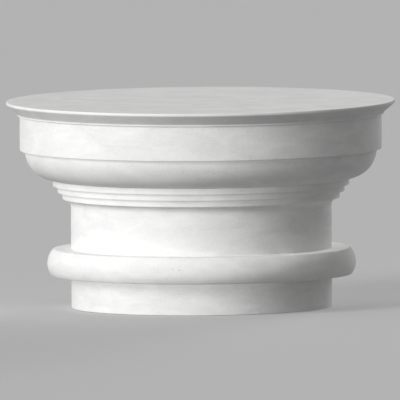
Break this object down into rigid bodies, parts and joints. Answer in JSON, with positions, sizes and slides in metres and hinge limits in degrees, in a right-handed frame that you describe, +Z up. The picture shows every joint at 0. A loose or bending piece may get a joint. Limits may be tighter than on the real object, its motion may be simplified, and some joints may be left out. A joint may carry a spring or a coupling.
{
  "type": "column capital",
  "caption": "Round Doric column capital with astragal, plain neck, stepped annulets, ovolo and a round abacus, which carries a load on the top of a round shaft.",
  "frame": {"origin": "centre of the flat lower bed, where the capital stands on the shaft", "axes": "+Z up along the column's axis, towards the abacus; +X and +Y are any two square directions, because the capital is turned"},
  "size_m": [0.3878, 0.3878, 0.2062],
  "materials": {
    "white_stone": "fine white stone, rubbed matt"
  },
  "bodies": {
    "root": {"capital": "white_stone"}
  },
  "joints": []
}
